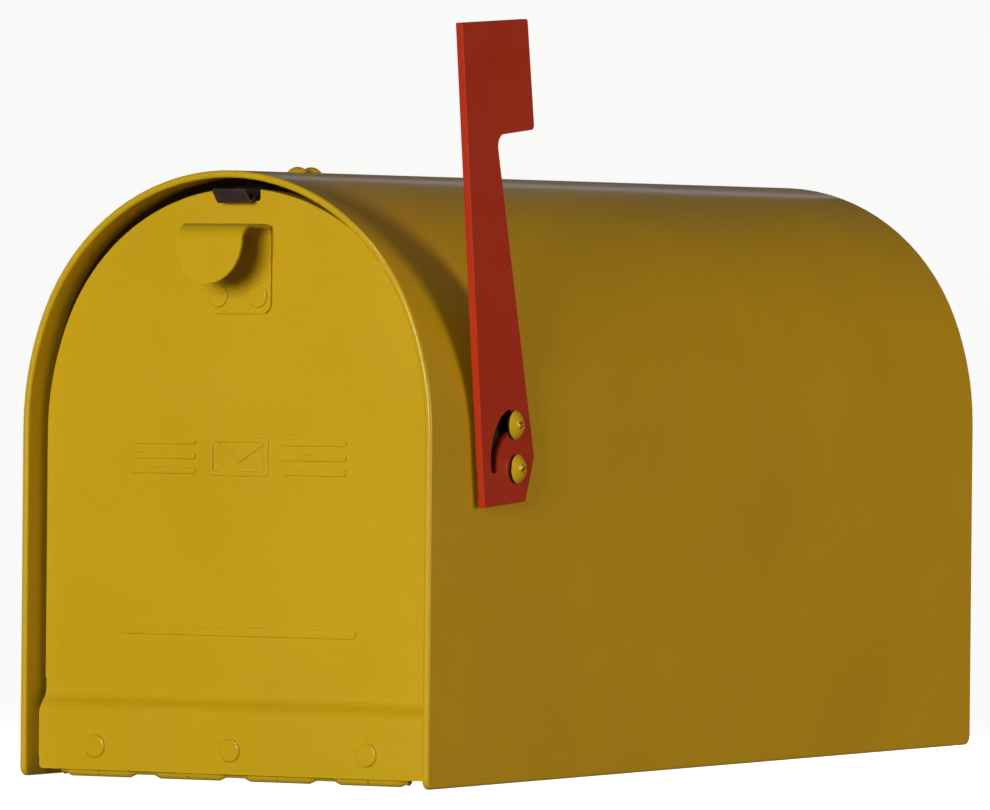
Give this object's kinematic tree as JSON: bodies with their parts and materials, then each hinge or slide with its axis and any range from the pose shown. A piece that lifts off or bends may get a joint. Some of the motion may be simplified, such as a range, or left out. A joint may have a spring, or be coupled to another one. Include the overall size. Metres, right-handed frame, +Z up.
{
  "type": "mailbox",
  "caption": "Arched steel kerbside mailbox with a recessed drop-down door, folded pull tab, sprung catch and a pivoting signal flag on the right side.",
  "frame": {"origin": "centre of the four mounting holes, on the underside of the floor", "axes": "+Z up, -Y out of the door, +X towards the flag side"},
  "size_m": [0.1981, 0.526, 0.3107],
  "materials": {
    "body_coat": "semi-gloss yellow powder coat with fine orange peel",
    "flag_coat": "semi-gloss red powder coat",
    "spring_steel": "dark oil-blackened spring steel",
    "zinc_steel": "zinc-plated, satin",
    "nylon": "black nylon"
  },
  "bodies": {
    "root": {"body_shell": "body_coat", "front_band": "body_coat", "rear_panel": "body_coat", "floor_pan": "body_coat", "hinge_leaf_body": "body_coat", "hinge_pin": "body_coat", "leaf_rivet_1": "body_coat", "leaf_rivet_2": "body_coat", "leaf_rivet_3": "body_coat", "leaf_rivet_4": "body_coat", "catch_anchor": "spring_steel", "catch_rivet_front": "body_coat", "catch_rivet_rear": "body_coat", "flag_pivot_screw": "body_coat", "flag_stop_screw": "body_coat", "flag_pad": "nylon", "flag_pivot_head_washer": "nylon", "flag_stop_head_washer": "nylon", "flag_pivot_washer": "zinc_steel", "flag_stop_washer": "zinc_steel", "flag_pivot_nut": "zinc_steel", "flag_stop_nut": "zinc_steel"},
    "door": {"door_panel": "body_coat", "door_handle": "body_coat", "handle_rivet_left": "body_coat", "handle_rivet_right": "body_coat", "hinge_leaf_door": "body_coat", "skirt_rivet_left": "body_coat", "skirt_rivet_centre": "body_coat", "skirt_rivet_right": "body_coat"},
    "flag": {"flag_arm": "flag_coat", "flag_bush": "nylon"},
    "catch": {"catch_tongue": "spring_steel"}
  },
  "joints": [
    {"name": "door_hinge", "type": "hinge", "parent": "root", "child": "door", "pos_m": [0, -0.2433, -0.0234], "axis": [1, 0, 0], "range_deg": [0, 115]},
    {"name": "flag_pivot", "type": "hinge", "parent": "root", "child": "flag", "pos_m": [0.0977, -0.1898, 0.1015], "axis": [-1, 0, 0], "range_deg": [0, 80]},
    {"name": "catch_flex", "type": "hinge", "parent": "root", "child": "catch", "pos_m": [0, -0.203, 0.2191], "axis": [-1, 0, 0], "range_deg": [0, 4], "stiffness_Nm_per_rad": 1}
  ]
}
